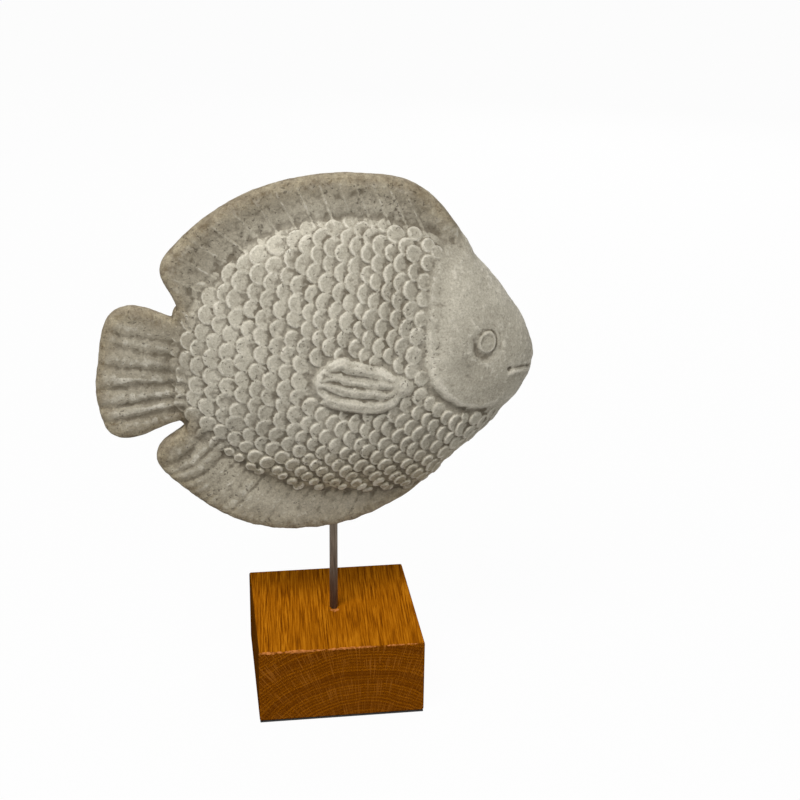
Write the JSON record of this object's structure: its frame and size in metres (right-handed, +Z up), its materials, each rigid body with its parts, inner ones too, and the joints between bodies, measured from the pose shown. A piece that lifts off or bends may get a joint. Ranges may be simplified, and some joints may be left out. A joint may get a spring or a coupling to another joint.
{
  "type": "fish figurine",
  "caption": "Cast concrete fish with scaled body and ribbed fins, plugged on a steel rod standing in an oak block.",
  "frame": {"origin": "on the surface it stands on, at the middle of the felt sheet's underside, on the rod's axis", "axes": "+Z up along the rod, +X towards the fish's snout, -Y out of the block's front face"},
  "size_m": [0.2555, 0.1, 0.3252],
  "materials": {
    "concrete": "matte, finely pitted",
    "sleeve_plastic": "matte",
    "rod_steel": "dark, raw rolled",
    "oak": "oiled",
    "zinc_steel": "zinc plated",
    "felt": "matte felt"
  },
  "bodies": {
    "stand": {"oak_block": "oak", "support_rod": "rod_steel", "rod_washer": "zinc_steel", "rod_nut": "zinc_steel", "felt_sheet": "felt"},
    "socket": {"rod_sleeve": "sleeve_plastic", "sleeve_plug": "sleeve_plastic"},
    "fish": {"fish_body": "concrete"}
  },
  "joints": [
    {"name": "fish_lift", "type": "slide", "parent": "stand", "child": "socket", "axis": [0, 0, 1], "range_m": [0, 0.07]},
    {"name": "fish_turn", "type": "hinge", "parent": "socket", "child": "fish", "pos_m": [0, 0, 0.105], "axis": [0, 0, 1], "continuous": true}
  ]
}
